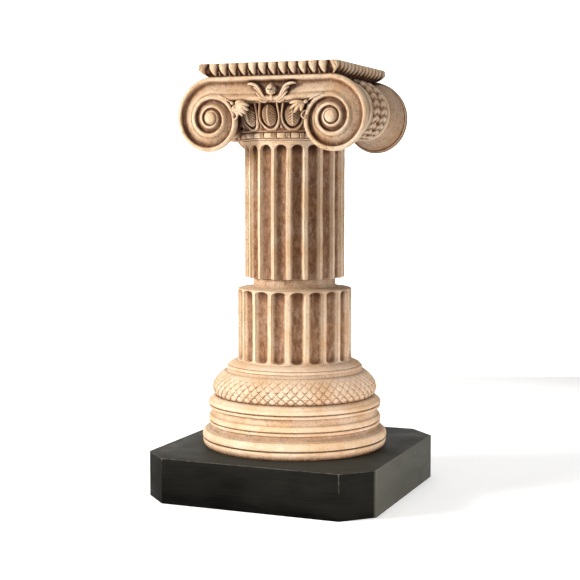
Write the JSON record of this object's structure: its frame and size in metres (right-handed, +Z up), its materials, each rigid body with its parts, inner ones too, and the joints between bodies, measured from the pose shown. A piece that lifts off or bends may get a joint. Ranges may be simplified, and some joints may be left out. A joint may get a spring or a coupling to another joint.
{
  "type": "column model",
  "caption": "Desk model of a fluted Ionic column on a square black plinth: scroll capital with carved slab, upper drum, collar, lower drum and round base mouldings.",
  "frame": {"origin": "on the floor, under the middle of the plinth's underside", "axes": "+Z up the column, -Y out of the front scroll face with the winged head, +X to the viewer's right"},
  "size_m": [0.32, 0.32, 0.5731],
  "materials": {
    "black_stone": "honed black stone with faint level brush marks and pale rubbed edges",
    "cast_terracotta": "matt cast terracotta paste, pale on the high parts with brown patina and pits in the hollows"
  },
  "bodies": {
    "root": {"plinth": "black_stone", "foot": "cast_terracotta", "shaft": "cast_terracotta", "capital": "cast_terracotta"}
  },
  "joints": []
}
